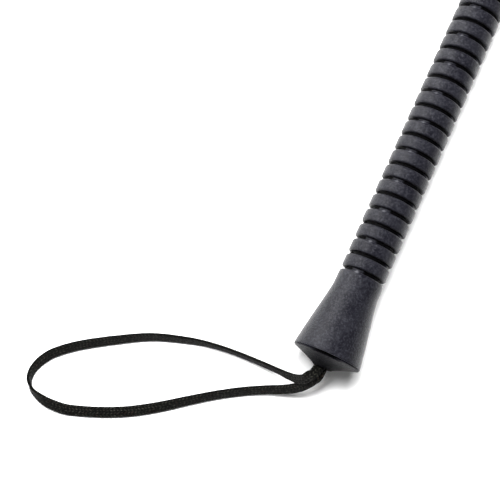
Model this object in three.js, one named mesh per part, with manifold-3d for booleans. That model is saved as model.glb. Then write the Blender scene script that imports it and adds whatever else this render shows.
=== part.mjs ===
// Riding crop in millimetres, lying on a level surface. +X runs from the butt to the tip, +Z is up, and the
// origin is on the surface under the middle of the crop.
// Stations along the crop are distances from the grip's widest rim, positive towards the tip.

import * as THREE from 'three';
import { mergeVertices } from 'three/addons/utils/BufferGeometryUtils.js';
import Module from 'manifold-3d';

const wasm = await Module();
wasm.setup();

// Driving dimensions
const CROP_LENGTH = 650;
const GRIP_RADIUS = 10;
const BUTT_RADIUS = 15.2;
const RING_COUNT = 24;
const CLEARANCE = 0.3;

// Ribbed grip
const RING_PITCH = 0.72 * GRIP_RADIUS;
const RING_GAP = 1.65;
const GROOVE_RADIUS = 0.75 * GRIP_RADIUS;
const WEB_RADIUS = 0.89 * GRIP_RADIUS;
const WEB_WIDTH = 4.9;
const WEB_ANGLE = THREE.MathUtils.degToRad(21);
const FLARE_LENGTH = 36.4;
const FLARE_STRAIGHT = 27.5;
const RIBS_END = FLARE_LENGTH + RING_COUNT * RING_PITCH + RING_GAP;
const NOSE_LENGTH = 14;
const NOSE_END = RIBS_END + NOSE_LENGTH;
const NOSE_RADIUS = 6.6;

// Hollow of the butt, with the plug that closes it
const PLUG_HEIGHT = 6;
const PLUG_SEAT_RADIUS = 14.4;
const PLUG_SEAT_DEPTH = 0.9;
const PLUG_FACE_RADIUS = 4;
const CAVITY_RADIUS = 8.5;
const CAVITY_END = 20;
const SPIGOT_END = 4.5;
const HOLE_RADIUS = 3.3;

// Shaft: rod, the tube that builds it up inside the grip, and the braided cover
const FORMER_RADIUS = 5.2;
const ROD_BUTT_RADIUS = 3.7;
const ROD_TIP_RADIUS = 1.7;
const ROD_START = CAVITY_END + 1;
const ROD_END = 546;
const BRAID_START_RADIUS = 4.4;
const BRAID_END_RADIUS = 2.7;
const BRAID_START = NOSE_END - 10;
const BRAID_END = 538;

// Leather keeper on the tip
const BINDING_START = 529;
const BINDING_END = 548.5;
const BINDING_RADIUS = 5.6;
const ROOT_START = 528;
const ROOT_END = 549.8;
const ROOT_RADIUS = 4.4;
const ROOT_BORE = 3;
const TIP_AXIS_HEIGHT = 6.1;
const TIP_AXIS_STATION = 540;
const LEATHER_THICKNESS = 3.4;
const NECK_WIDTH = 13;
const NECK_DROP_LENGTH = 18;
const NECK_FLARE_LENGTH = 42;
const KEEPER_WIDTH = 38;
const KEEPER_CORNER = 10;
const STITCH_INSET = 3;
const STITCH_RADIUS = 0.4;

// Wrist loop of flat woven tape
const TAPE_WIDTH = 4.6;
const TAPE_THICKNESS = 1.4;
const TAPE_STEPS = 78;

// Facets around the turned pieces
const FACETS = 24;
const SMALL_FACETS = 16;

// How the crop lies: on the rim of its butt and on the flat of its keeper
const SLOPE = Math.asin((BUTT_RADIUS - TIP_AXIS_HEIGHT) / TIP_AXIS_STATION);
const BUTT_X = -CROP_LENGTH / 2;
const RIM_X = BUTT_X + PLUG_HEIGHT * Math.cos(SLOPE) + PLUG_FACE_RADIUS * Math.sin(SLOPE);
const RIM_Z = BUTT_RADIUS * Math.cos(SLOPE);
const HINGE_STATION = ROOT_END + CLEARANCE + LEATHER_THICKNESS / 2;
const HINGE_X = RIM_X + HINGE_STATION * Math.cos(SLOPE);
const HINGE_Z = RIM_Z - HINGE_STATION * Math.sin(SLOPE);

// Route of the middle of the tape from the hole and back into it: distance behind the butt as a negative x,
// sideways y, height z, and the roll of its flat side in degrees.
const LOOP_ROUTE = [
  [-3.6, 2.1, 16, 4],
  [-5.4, 3.5, 15.2, 14],
  [-7.3, 4.8, 13.2, 28],
  [-8.4, 7.2, 10.3, 45],
  [-8.6, 10.7, 7.4, 60],
  [-8.4, 16.1, 5, 70],
  [-8.4, 24.1, 3.3, 74],
  [-8.8, 34.1, 2.5, 75],
  [-10.1, 46, 2.5, 73],
  [-12.7, 57, 2.4, 62],
  [-17.8, 71.5, 2.3, 53],
  [-25.4, 85, 2.2, 44],
  [-33.9, 98, 2, 38],
  [-40.8, 106.1, 2, 38],
  [-45.6, 109.7, 2.1, 42],
  [-49.8, 111.4, 2.3, 52],
  [-53.1, 111.9, 2.4, 62],
  [-56.1, 111.4, 2.5, 76],
  [-58.1, 110.1, 2.5, 92],
  [-59.6, 108.6, 2.5, 104],
  [-60.6, 106.5, 2.4, 117],
  [-61.6, 102.6, 2.1, 138],
  [-61.9, 98.3, 1.7, 155],
  [-61.4, 92.5, 1.1, 171],
  [-59.4, 86, 0.8, 180],
  [-55.2, 75.5, 0.8, 180],
  [-49.7, 65, 1.1, 172],
  [-43.2, 55.2, 1.6, 158],
  [-36.1, 45.7, 2, 145],
  [-29.1, 36, 2.2, 138],
  [-22.8, 26.1, 2.2, 138],
  [-17.8, 16.9, 2.7, 140],
  [-14.3, 9.6, 4.6, 146],
  [-11, 4.7, 7.5, 155],
  [-8.1, 2.2, 10.5, 165],
  [-5.7, 0.8, 12.9, 174],
  [-3.6, -0.1, 14.1, 180],
];

const UP = new THREE.Vector3(0, 0, 1);

// A solid turned about the X axis from a closed outline of [station, radius] points, butt to tip on the
// outside and back along the inside.
function turned(outline, facets = FACETS) {
  const points = [...outline, outline[0]].map(([station, radius]) => new THREE.Vector2(radius, station));
  const geometry = new THREE.LatheGeometry(points, facets);
  geometry.rotateZ(-Math.PI / 2);
  return geometry;
}

// A solid skinned over cross-sections that all have the same number of corners.
function lofted(sections) {
  const corners = sections[0].length;
  const positions = sections.flat().flatMap((point) => point.toArray());
  const triangles = [];
  for (let section = 0; section < sections.length - 1; section += 1) {
    for (let corner = 0; corner < corners; corner += 1) {
      const next = (corner + 1) % corners;
      const here = section * corners;
      const there = here + corners;
      triangles.push(here + corner, here + next, there + next);
      triangles.push(here + corner, there + next, there + corner);
    }
  }
  const last = (sections.length - 1) * corners;
  for (let corner = 1; corner < corners - 1; corner += 1) {
    triangles.push(0, corner + 1, corner);
    triangles.push(last, last + corner, last + corner + 1);
  }
  const geometry = new THREE.BufferGeometry();
  geometry.setAttribute('position', new THREE.Float32BufferAttribute(positions, 3));
  geometry.setIndex(triangles);
  return geometry;
}

function manifoldOf(geometry) {
  const bare = geometry.clone();
  bare.deleteAttribute('normal');
  bare.deleteAttribute('uv');
  const merged = mergeVertices(bare);
  return new wasm.Manifold(new wasm.Mesh({
    numProp: 3,
    vertProperties: merged.attributes.position.array,
    triVerts: new Uint32Array(merged.index.array),
  }));
}

function geometryOf(solid) {
  const mesh = solid.getMesh();
  const geometry = new THREE.BufferGeometry();
  geometry.setAttribute('position', new THREE.BufferAttribute(mesh.vertProperties, 3));
  geometry.setIndex(new THREE.BufferAttribute(mesh.triVerts, 1));
  return geometry;
}

function radiusBetween(station, start, startRadius, end, endRadius) {
  return THREE.MathUtils.mapLinear(station, start, end, startRadius, endRadius);
}

function rodRadius(station) {
  return radiusBetween(station, ROD_START, ROD_BUTT_RADIUS, ROD_END, ROD_TIP_RADIUS);
}

// One-piece rubber grip: flared butt, evenly spaced rings and a tapered nose, hollow inside.
function gripGeometry() {
  const outline = [
    [0, PLUG_SEAT_RADIUS],
    [0, BUTT_RADIUS],
    [FLARE_STRAIGHT, GRIP_RADIUS + 0.4],
    [FLARE_STRAIGHT + 4.5, GRIP_RADIUS],
  ];
  for (let groove = 0; groove <= RING_COUNT; groove += 1) {
    const station = FLARE_LENGTH + groove * RING_PITCH;
    outline.push([station, GRIP_RADIUS], [station, GROOVE_RADIUS]);
    outline.push([station + RING_GAP, GROOVE_RADIUS], [station + RING_GAP, GRIP_RADIUS]);
  }
  outline.push([NOSE_END, NOSE_RADIUS], [NOSE_END, BRAID_START_RADIUS + CLEARANCE]);
  outline.push([BRAID_START - CLEARANCE, BRAID_START_RADIUS + CLEARANCE]);
  outline.push([BRAID_START - CLEARANCE, FORMER_RADIUS + CLEARANCE]);
  outline.push([CAVITY_END, FORMER_RADIUS + CLEARANCE], [CAVITY_END, CAVITY_RADIUS]);
  outline.push([PLUG_SEAT_DEPTH, CAVITY_RADIUS], [PLUG_SEAT_DEPTH, PLUG_SEAT_RADIUS]);
  let grip = manifoldOf(turned(outline));
  for (let groove = 0; groove <= RING_COUNT; groove += 1) {
    for (const side of [0, Math.PI]) {
      grip = grip.add(manifoldOf(webGeometry(groove, side)));
    }
  }
  return geometryOf(grip);
}

// One of the two webs that bridge each groove. They turn a quarter turn from one groove to the next.
function webGeometry(groove, side) {
  const bite = 0.4;
  const height = WEB_RADIUS - GROOVE_RADIUS + bite;
  const web = new THREE.BoxGeometry(RING_GAP + 2 * bite, WEB_WIDTH, height);
  web.translate(FLARE_LENGTH + groove * RING_PITCH + RING_GAP / 2, 0, WEB_RADIUS - height / 2);
  web.rotateX(-(WEB_ANGLE + side + (groove % 2) * Math.PI / 2));
  return web;
}

// Conical plug that closes the butt, with the hole for the tape.
function plugGeometry() {
  const flange = PLUG_SEAT_RADIUS - CLEARANCE;
  const coneStation = -PLUG_HEIGHT * (BUTT_RADIUS - flange) / (BUTT_RADIUS - PLUG_FACE_RADIUS);
  const spigot = CAVITY_RADIUS - CLEARANCE;
  return turned([
    [-PLUG_HEIGHT, HOLE_RADIUS],
    [-PLUG_HEIGHT, PLUG_FACE_RADIUS],
    [coneStation, flange],
    [PLUG_SEAT_DEPTH - CLEARANCE, flange],
    [PLUG_SEAT_DEPTH - CLEARANCE, spigot],
    [SPIGOT_END, spigot],
    [SPIGOT_END, HOLE_RADIUS],
  ]);
}

function washerGeometry() {
  const start = SPIGOT_END + CLEARANCE;
  const thickness = 1.2;
  return turned([
    [start, HOLE_RADIUS + 0.1],
    [start, CAVITY_RADIUS - 0.6],
    [start + thickness, CAVITY_RADIUS - 0.6],
    [start + thickness, HOLE_RADIUS + 0.1],
  ], SMALL_FACETS);
}

// Knot in the two ends of the tape, with the ends themselves running down through washer and plug.
function knotGeometry() {
  const tail = HOLE_RADIUS - CLEARANCE;
  const seat = 6.3;
  const knotLength = 10;
  const knotRadius = 6.4;
  const tailEnd = -PLUG_HEIGHT + 0.3;
  const outline = [[tailEnd, 0], [tailEnd, tail], [seat, tail]];
  const bulges = 5;
  for (let step = 1; step <= bulges; step += 1) {
    const angle = Math.PI * step / (bulges + 1);
    outline.push([seat + knotLength * (1 - Math.cos(angle)) / 2, knotRadius * Math.sin(angle)]);
  }
  outline.push([seat + knotLength, 0]);
  return turned(outline, SMALL_FACETS);
}

// Tube that builds the thin rod up to the bore of the grip.
function formerGeometry() {
  const start = CAVITY_END + 0.5;
  const end = BRAID_START - 2 * CLEARANCE;
  return turned([
    [start, rodRadius(start) + CLEARANCE],
    [start, FORMER_RADIUS],
    [end, FORMER_RADIUS],
    [end, rodRadius(end) + CLEARANCE],
  ]);
}

function rodGeometry() {
  return turned([
    [ROD_START, 0],
    [ROD_START, ROD_BUTT_RADIUS],
    [ROD_END, ROD_TIP_RADIUS],
    [ROD_END, 0],
  ], SMALL_FACETS);
}

function braidGeometry() {
  return turned([
    [BRAID_START, rodRadius(BRAID_START) + CLEARANCE],
    [BRAID_START, BRAID_START_RADIUS],
    [BRAID_END, BRAID_END_RADIUS],
    [BRAID_END, rodRadius(BRAID_END) + CLEARANCE],
  ]);
}

// Collar on the braid, where it comes out of the grip's nose.
function collarGeometry() {
  const start = NOSE_END + CLEARANCE;
  const length = 6;
  const bore = BRAID_START_RADIUS + CLEARANCE;
  return turned([
    [start, bore],
    [start, NOSE_RADIUS - 0.3],
    [start + length, NOSE_RADIUS - 0.8],
    [start + length, bore],
  ]);
}

// Cap over the end of the rod, so that it can't work through the leather.
function tipCapGeometry() {
  const start = BRAID_END + CLEARANCE;
  const wall = 0.6;
  const bore = rodRadius(start) + CLEARANCE;
  return turned([
    [start, bore],
    [start, bore + wall],
    [ROD_END + 2, bore + wall],
    [ROD_END + 2, 0],
    [ROD_END + CLEARANCE, 0],
    [ROD_END + CLEARANCE, bore],
  ], SMALL_FACETS);
}

// Rolled end of the leather, wrapped round the shaft's tip.
function keeperRootGeometry() {
  const pocketEnd = ROD_END + 2 + CLEARANCE;
  return turned([
    [ROOT_START, ROOT_BORE],
    [ROOT_START, ROOT_RADIUS],
    [ROOT_END, ROOT_RADIUS],
    [ROOT_END, 0],
    [pocketEnd, 0],
    [pocketEnd, ROOT_BORE],
  ], SMALL_FACETS);
}

// Tight winding of waxed thread over the rolled leather.
function bindingGeometry() {
  const bore = ROOT_RADIUS + CLEARANCE;
  return turned([
    [BINDING_START, bore],
    [BINDING_START, BINDING_RADIUS],
    [BINDING_END, BINDING_RADIUS],
    [BINDING_END, bore],
  ]);
}

function keeperHalfWidth(x) {
  const flare = THREE.MathUtils.smoothstep(x, HINGE_X, HINGE_X + NECK_FLARE_LENGTH);
  const width = THREE.MathUtils.lerp(NECK_WIDTH, KEEPER_WIDTH, flare) / 2;
  const intoCorner = Math.max(0, x - (CROP_LENGTH / 2 - KEEPER_CORNER));
  return width - KEEPER_CORNER + Math.sqrt(KEEPER_CORNER ** 2 - intoCorner ** 2);
}

function keeperHeight(x) {
  const drop = THREE.MathUtils.smoothstep(x, HINGE_X, HINGE_X + NECK_DROP_LENGTH);
  return THREE.MathUtils.lerp(HINGE_Z, LEATHER_THICKNESS / 2, drop);
}

function keeperSection(x, halfThickness) {
  const halfWidth = keeperHalfWidth(x);
  const middle = keeperHeight(x);
  return [
    new THREE.Vector3(x, -halfWidth, middle - halfThickness),
    new THREE.Vector3(x, halfWidth, middle - halfThickness),
    new THREE.Vector3(x, halfWidth, middle + halfThickness),
    new THREE.Vector3(x, -halfWidth, middle + halfThickness),
  ];
}

// Folded leather flap. Its root is rounded about the line that it flexes on, then its neck drops to the
// surface and the flap lies flat.
function keeperTongueGeometry() {
  const halfThickness = LEATHER_THICKNESS / 2;
  const sections = [];
  for (const degrees of [15, 40, 65]) {
    const angle = THREE.MathUtils.degToRad(degrees);
    sections.push(keeperSection(HINGE_X - halfThickness * Math.cos(angle), halfThickness * Math.sin(angle)));
  }
  const neckSteps = 12;
  for (let step = 0; step <= neckSteps; step += 1) {
    sections.push(keeperSection(HINGE_X + NECK_FLARE_LENGTH * step / neckSteps, halfThickness));
  }
  const cornerSteps = 6;
  for (let step = 0; step <= cornerSteps; step += 1) {
    const angle = Math.PI / 2 * step / cornerSteps;
    const x = CROP_LENGTH / 2 - KEEPER_CORNER * (1 - Math.sin(angle));
    sections.push(keeperSection(x, halfThickness));
  }
  return lofted(sections);
}

// Line of stitches round the edge of the flap, on its upper side.
function stitchingGeometry() {
  const height = LEATHER_THICKNESS + CLEARANCE + STITCH_RADIUS;
  const start = HINGE_X + NECK_DROP_LENGTH + 2;
  const end = CROP_LENGTH / 2 - STITCH_INSET;
  const side = [];
  const sideSteps = 7;
  for (let step = 0; step <= sideSteps; step += 1) {
    const x = THREE.MathUtils.lerp(start, end - KEEPER_CORNER / 2, step / sideSteps);
    side.push([x, keeperHalfWidth(x) - STITCH_INSET]);
  }
  side.push([end, keeperHalfWidth(end - KEEPER_CORNER) - STITCH_INSET - KEEPER_CORNER / 2]);
  const left = side.map(([x, y]) => new THREE.Vector3(x, y, height));
  const right = side.map(([x, y]) => new THREE.Vector3(x, -y, height)).reverse();
  const path = new THREE.CatmullRomCurve3([...left, ...right]);
  const section = new THREE.Shape();
  section.absarc(0, 0, STITCH_RADIUS, 0, 2 * Math.PI, false);
  return new THREE.ExtrudeGeometry(section, { steps: 48, extrudePath: path, curveSegments: 6 });
}

// The tape's route, with frames that give its flat side the roll listed at each point.
class TapeRoute extends THREE.CatmullRomCurve3 {
  constructor(rows) {
    super(rows.map(([x, y, z]) => new THREE.Vector3(BUTT_X + x, y, z)));
    this.rolls = rows.map((row) => THREE.MathUtils.degToRad(row[3]));
  }

  rollAt(along) {
    const place = this.getUtoTmapping(along) * (this.rolls.length - 1);
    const before = Math.min(Math.floor(place), this.rolls.length - 2);
    return THREE.MathUtils.lerp(this.rolls[before], this.rolls[before + 1], place - before);
  }

  computeFrenetFrames(segments) {
    const frames = { tangents: [], normals: [], binormals: [] };
    for (let step = 0; step <= segments; step += 1) {
      const along = step / segments;
      const tangent = this.getTangentAt(along);
      const sideways = new THREE.Vector3().crossVectors(UP, tangent).normalize();
      const above = new THREE.Vector3().crossVectors(tangent, sideways);
      const roll = this.rollAt(along);
      const normal = above.multiplyScalar(Math.cos(roll)).addScaledVector(sideways, Math.sin(roll));
      frames.tangents.push(tangent);
      frames.normals.push(normal);
      frames.binormals.push(new THREE.Vector3().crossVectors(tangent, normal));
    }
    return frames;
  }
}

// Wrist loop: one length of tape, out of the hole, round and back.
function wristLoopGeometry() {
  const halfThickness = TAPE_THICKNESS / 2;
  const halfWidth = TAPE_WIDTH / 2;
  const chamfer = 0.3;
  const section = new THREE.Shape([
    new THREE.Vector2(halfThickness, halfWidth - chamfer),
    new THREE.Vector2(halfThickness - chamfer, halfWidth),
    new THREE.Vector2(chamfer - halfThickness, halfWidth),
    new THREE.Vector2(-halfThickness, halfWidth - chamfer),
    new THREE.Vector2(-halfThickness, chamfer - halfWidth),
    new THREE.Vector2(chamfer - halfThickness, -halfWidth),
    new THREE.Vector2(halfThickness - chamfer, -halfWidth),
    new THREE.Vector2(halfThickness, chamfer - halfWidth),
  ]);
  return new THREE.ExtrudeGeometry(section, { steps: TAPE_STEPS, extrudePath: new TapeRoute(LOOP_ROUTE) });
}

const rubber = { color: 0x34353a, roughness: 0.62, metalness: 0 };
const plastic = { color: 0x1c1c1e, roughness: 0.4, metalness: 0 };
const glassFibre = { color: 0xcfc8a8, roughness: 0.35, metalness: 0 };
const wovenTape = { color: 0x0e0e10, roughness: 0.85, metalness: 0 };
const braidedNylon = { color: 0x151517, roughness: 0.7, metalness: 0 };
const leather = { color: 0x1d1a18, roughness: 0.55, metalness: 0 };
const thread = { color: 0x111112, roughness: 0.75, metalness: 0 };
const steel = { color: 0xb4b6b9, roughness: 0.3, metalness: 1 };

function piece(name, geometry, finish) {
  const mesh = new THREE.Mesh(geometry, new THREE.MeshStandardMaterial(finish));
  mesh.name = name;
  return mesh;
}

// Everything that is straight along the shaft, turned on one axis that slopes down to the tip.
const stick = new THREE.Group();
stick.position.set(RIM_X, 0, RIM_Z);
stick.rotation.y = SLOPE;
stick.add(
  piece('rubber_grip', gripGeometry(), rubber),
  piece('butt_plug', plugGeometry(), rubber),
  piece('loop_washer', washerGeometry(), steel),
  piece('loop_knot', knotGeometry(), wovenTape),
  piece('grip_former', formerGeometry(), plastic),
  piece('shaft_rod', rodGeometry(), glassFibre),
  piece('shaft_braid', braidGeometry(), braidedNylon),
  piece('grip_collar', collarGeometry(), plastic),
  piece('rod_tip_cap', tipCapGeometry(), plastic),
  piece('keeper_root', keeperRootGeometry(), leather),
  piece('keeper_binding', bindingGeometry(), thread),
);

const keeper = new THREE.Group();
keeper.add(
  piece('keeper_tongue', keeperTongueGeometry(), leather),
  piece('keeper_stitching', stitchingGeometry(), thread),
);

const crop = new THREE.Group();
crop.add(stick, keeper, piece('wrist_loop', wristLoopGeometry(), wovenTape));

export default crop;
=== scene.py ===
import math

import bmesh
import bpy
import numpy as np
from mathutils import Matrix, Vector


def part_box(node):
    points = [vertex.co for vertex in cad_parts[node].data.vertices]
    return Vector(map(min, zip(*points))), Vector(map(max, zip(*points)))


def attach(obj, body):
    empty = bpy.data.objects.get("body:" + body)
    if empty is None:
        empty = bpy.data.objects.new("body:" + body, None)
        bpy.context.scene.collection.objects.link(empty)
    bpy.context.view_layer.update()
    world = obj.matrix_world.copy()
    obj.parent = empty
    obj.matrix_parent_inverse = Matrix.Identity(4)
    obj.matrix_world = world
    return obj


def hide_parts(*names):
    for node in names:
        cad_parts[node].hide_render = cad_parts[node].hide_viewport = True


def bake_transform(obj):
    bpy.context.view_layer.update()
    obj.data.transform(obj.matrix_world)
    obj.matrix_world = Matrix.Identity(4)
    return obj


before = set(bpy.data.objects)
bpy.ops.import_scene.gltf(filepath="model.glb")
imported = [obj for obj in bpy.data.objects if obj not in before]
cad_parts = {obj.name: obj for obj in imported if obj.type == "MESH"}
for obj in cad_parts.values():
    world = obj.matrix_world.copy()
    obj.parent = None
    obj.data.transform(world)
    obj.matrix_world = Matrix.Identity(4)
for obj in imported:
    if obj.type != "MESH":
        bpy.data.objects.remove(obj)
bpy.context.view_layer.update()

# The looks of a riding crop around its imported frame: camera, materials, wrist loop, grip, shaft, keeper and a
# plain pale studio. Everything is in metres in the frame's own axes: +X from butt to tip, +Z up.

MM = 0.001

# ---------------------------------------------------------------- the crop's axis, from the frame


def centre_of(node):
    low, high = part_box(node)
    return np.array((low + high) / 2)


# Stations are distances along the axis from the rim of the butt, positive towards the tip.
PLUG_CENTRE_STATION = -0.75 * MM
PLUG_CENTRE = centre_of("butt_plug")
AXIS = centre_of("keeper_binding") - PLUG_CENTRE
AXIS = AXIS / np.linalg.norm(AXIS)
SIDE = np.array((0.0, 1.0, 0.0))
ABOVE = np.cross(AXIS, SIDE)
RIM = PLUG_CENTRE - AXIS * PLUG_CENTRE_STATION
MOUTH_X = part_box("butt_plug")[0].x
KEEPER_END_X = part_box("keeper_tongue")[1].x


def on_axis(station):
    return RIM + AXIS * station


def around_axis(stations, radii, angles):
    """Points at each station (rows) and angle (columns), angles counted from above towards +Y."""
    stations = np.asarray(stations, float)[:, None, None]
    radii = np.asarray(radii, float)
    if radii.ndim == 1:
        radii = np.repeat(radii[:, None], len(angles), axis=1)
    spokes = np.cos(angles)[:, None] * ABOVE + np.sin(angles)[:, None] * SIDE
    return RIM + AXIS * stations + radii[:, :, None] * spokes[None, :, :]


def full_turn(count):
    return np.linspace(0, 2 * math.pi, count, endpoint=False)


# ---------------------------------------------------------------- mesh building


def smoothstep(value, low, high):
    t = np.clip((value - low) / (high - low), 0, 1)
    return t * t * (3 - 2 * t)


def soft_ramp(value, softness):
    """Zero below zero, the value itself above, with a round bend between."""
    return (value + np.sqrt(value * value + softness * softness)) / 2


def arc(centre_station, centre_radius, size, start_degrees, end_degrees, steps):
    """Round stretch of an outline. 0 degrees points to the tip, 90 away from the axis, 180 to the butt."""
    angles = np.radians(np.linspace(start_degrees, end_degrees, steps))
    stations = centre_station + size * np.cos(angles)
    radii = centre_radius + size * np.sin(angles)
    return list(zip(stations, radii))


def object_from(name, vertices, faces, material, crease=40):
    mesh = bpy.data.meshes.new(name)
    mesh.from_pydata([tuple(v) for v in vertices], [], faces)
    shape = bmesh.new()
    shape.from_mesh(mesh)
    bmesh.ops.recalc_face_normals(shape, faces=shape.faces)
    shape.to_mesh(mesh)
    shape.free()
    mesh.polygons.foreach_set("use_smooth", [True] * len(mesh.polygons))
    mesh.set_sharp_from_angle(angle=math.radians(crease))
    mesh.materials.append(material)
    piece = bpy.data.objects.new(name, mesh)
    bpy.context.scene.collection.objects.link(piece)
    return piece


def grid_faces(rows, columns, wrap_rows, wrap_columns, first=0):
    faces = []
    for row in range(rows if wrap_rows else rows - 1):
        here = first + row * columns
        there = first + (row + 1) % rows * columns
        for column in range(columns if wrap_columns else columns - 1):
            following = (column + 1) % columns
            faces.append((here + column, here + following, there + following, there + column))
    return faces


def skin(name, points, material, wrap_rows=False, close_ends=False, crease=40):
    """A surface over rings of points. wrap_rows joins the last ring to the first."""
    rows, columns = points.shape[:2]
    vertices = list(points.reshape(-1, 3))
    faces = grid_faces(rows, columns, wrap_rows, True)
    if close_ends:
        for row in (0, rows - 1):
            middle = len(vertices)
            vertices.append(points[row].mean(axis=0))
            ring = row * columns
            faces += [(ring + c, ring + (c + 1) % columns, middle) for c in range(columns)]
    return object_from(name, vertices, faces, material, crease)


def turned(name, outline, material, columns):
    """A closed solid of revolution about the crop's axis from a closed outline of (station, radius)."""
    stations = [station for station, _ in outline]
    radii = [radius for _, radius in outline]
    return skin(name, around_axis(stations, radii, full_turn(columns)), material, wrap_rows=True)


def mark(piece, name, values):
    """One number per vertex that a material can read."""
    attribute = piece.data.attributes.new(name, "FLOAT", "POINT")
    attribute.data.foreach_set("value", np.asarray(values, np.float32).ravel())


def mark_vector(piece, name, values):
    attribute = piece.data.attributes.new(name, "FLOAT_VECTOR", "POINT")
    attribute.data.foreach_set("vector", np.asarray(values, np.float32).ravel())


# ---------------------------------------------------------------- camera

CAMERA_ELEVATION = math.radians(82.0)
CAMERA_ROLL = math.radians(24.8)
CAMERA_DISTANCE = 515 * MM
CAMERA_LENS = 86.4
AIM = RIM + np.array((26.9 * MM, 48.7 * MM, 0.0))


def make_camera():
    """Nearly overhead, looking along the crop from behind its butt, with the crop rising to the right."""
    back = Vector((-math.cos(CAMERA_ELEVATION), 0, math.sin(CAMERA_ELEVATION)))
    level_up = Vector((math.sin(CAMERA_ELEVATION), 0, math.cos(CAMERA_ELEVATION)))
    up = level_up * math.cos(CAMERA_ROLL) + Vector((0, 1, 0)) * math.sin(CAMERA_ROLL)
    right = up.cross(back)
    data = bpy.data.cameras.new("camera")
    data.lens = CAMERA_LENS
    data.clip_start = 0.01
    camera = bpy.data.objects.new("camera", data)
    bpy.context.scene.collection.objects.link(camera)
    matrix = camera.matrix_world.copy()
    for row in range(3):
        matrix[row][0] = right[row]
        matrix[row][1] = up[row]
        matrix[row][2] = back[row]
        matrix[row][3] = AIM[row] + back[row] * CAMERA_DISTANCE
    camera.matrix_world = matrix
    bpy.context.scene.camera = camera


# ---------------------------------------------------------------- materials


class Look:
    """A material with a principled shader, and short ways to add the nodes that feed it."""

    def __init__(self, name, **values):
        self.material = bpy.data.materials.new(name)
        self.material.use_nodes = True
        self.nodes = self.material.node_tree.nodes
        self.links = self.material.node_tree.links
        self.shader = self.nodes["Principled BSDF"]
        for socket, value in values.items():
            self.shader.inputs[socket.replace("_", " ")].default_value = value
        self.position = self.node("ShaderNodeTexCoord").outputs["Object"]

    def node(self, kind, **settings):
        made = self.nodes.new(kind)
        for setting, value in settings.items():
            setattr(made, setting, value)
        return made

    def feed(self, socket, source):
        self.links.new(source, socket)

    def noise(self, scale, detail=3.0, roughness=0.55, stretch=None):
        """Soft noise, with scale in blotches per metre. stretch scales it along each axis."""
        source = self.position
        if stretch:
            mapping = self.node("ShaderNodeMapping")
            mapping.inputs["Scale"].default_value = stretch
            self.feed(mapping.inputs["Vector"], source)
            source = mapping.outputs["Vector"]
        noise = self.node("ShaderNodeTexNoise")
        noise.inputs["Scale"].default_value = scale
        noise.inputs["Detail"].default_value = detail
        noise.inputs["Roughness"].default_value = roughness
        self.feed(noise.inputs["Vector"], source)
        return noise.outputs["Fac"]

    def cells(self, scale):
        """Distance to the nearest border between irregular cells."""
        cells = self.node("ShaderNodeTexVoronoi", feature="DISTANCE_TO_EDGE")
        cells.inputs["Scale"].default_value = scale
        self.feed(cells.inputs["Vector"], self.position)
        return cells.outputs["Distance"]

    def attribute(self, name, output="Fac"):
        return self.node("ShaderNodeAttribute", attribute_name=name).outputs[output]

    def math(self, operation, first, second=None):
        made = self.node("ShaderNodeMath", operation=operation)
        for place, value in enumerate((first, second)):
            if value is None:
                continue
            if isinstance(value, (int, float)):
                made.inputs[place].default_value = value
            else:
                self.feed(made.inputs[place], value)
        return made.outputs[0]

    def between(self, source, low, high):
        """Maps 0 to 1 onto low to high."""
        made = self.node("ShaderNodeMapRange")
        made.inputs["To Min"].default_value = low
        made.inputs["To Max"].default_value = high
        self.feed(made.inputs["Value"], source)
        return made.outputs["Result"]

    def tighten(self, source, low, high):
        """Maps low to high onto 0 to 1, and holds it there."""
        made = self.node("ShaderNodeMapRange", interpolation_type="SMOOTHSTEP")
        made.inputs["From Min"].default_value = low
        made.inputs["From Max"].default_value = high
        self.feed(made.inputs["Value"], source)
        return made.outputs["Result"]

    def blend(self, amount, first, second):
        """First colour where amount is 0, second where it is 1."""
        made = self.node("ShaderNodeMix", data_type="RGBA")
        sockets = [made.inputs[0], made.inputs[6], made.inputs[7]]
        for socket, value in zip(sockets, (amount, first, second)):
            if isinstance(value, (int, float)):
                socket.default_value = value
            elif isinstance(value, tuple):
                socket.default_value = (*value, 1.0)
            else:
                self.feed(socket, value)
        return made.outputs[2]

    def colour(self, source):
        self.feed(self.shader.inputs["Base Color"], source)

    def roughness(self, source):
        self.feed(self.shader.inputs["Roughness"], source)

    def bump(self, height, depth, strength=1.0, under=None):
        """Bump of that depth in metres, on top of another bump if under is given."""
        made = self.node("ShaderNodeBump")
        made.inputs["Strength"].default_value = strength
        made.inputs["Distance"].default_value = depth
        self.feed(made.inputs["Height"], height)
        if under:
            self.feed(made.inputs["Normal"], under)
        self.feed(self.shader.inputs["Normal"], made.outputs["Normal"])
        return made.outputs["Normal"]


RUBBER_DARK = (0.0037, 0.0036, 0.0058)
RUBBER_LIGHT = (0.0079, 0.0079, 0.0108)
RUBBER_WORN_AND_HIGHLIGHT = (0.0290, 0.0295, 0.0362)
RUBBER_PAINTED_HIGHLIGHT = (0.0740, 0.0740, 0.0820)
# Near-black colour of the painted shade in grooves and creases.
RUBBER_PAINTED_SHADE = (0.0012, 0.0012, 0.0014)


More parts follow.
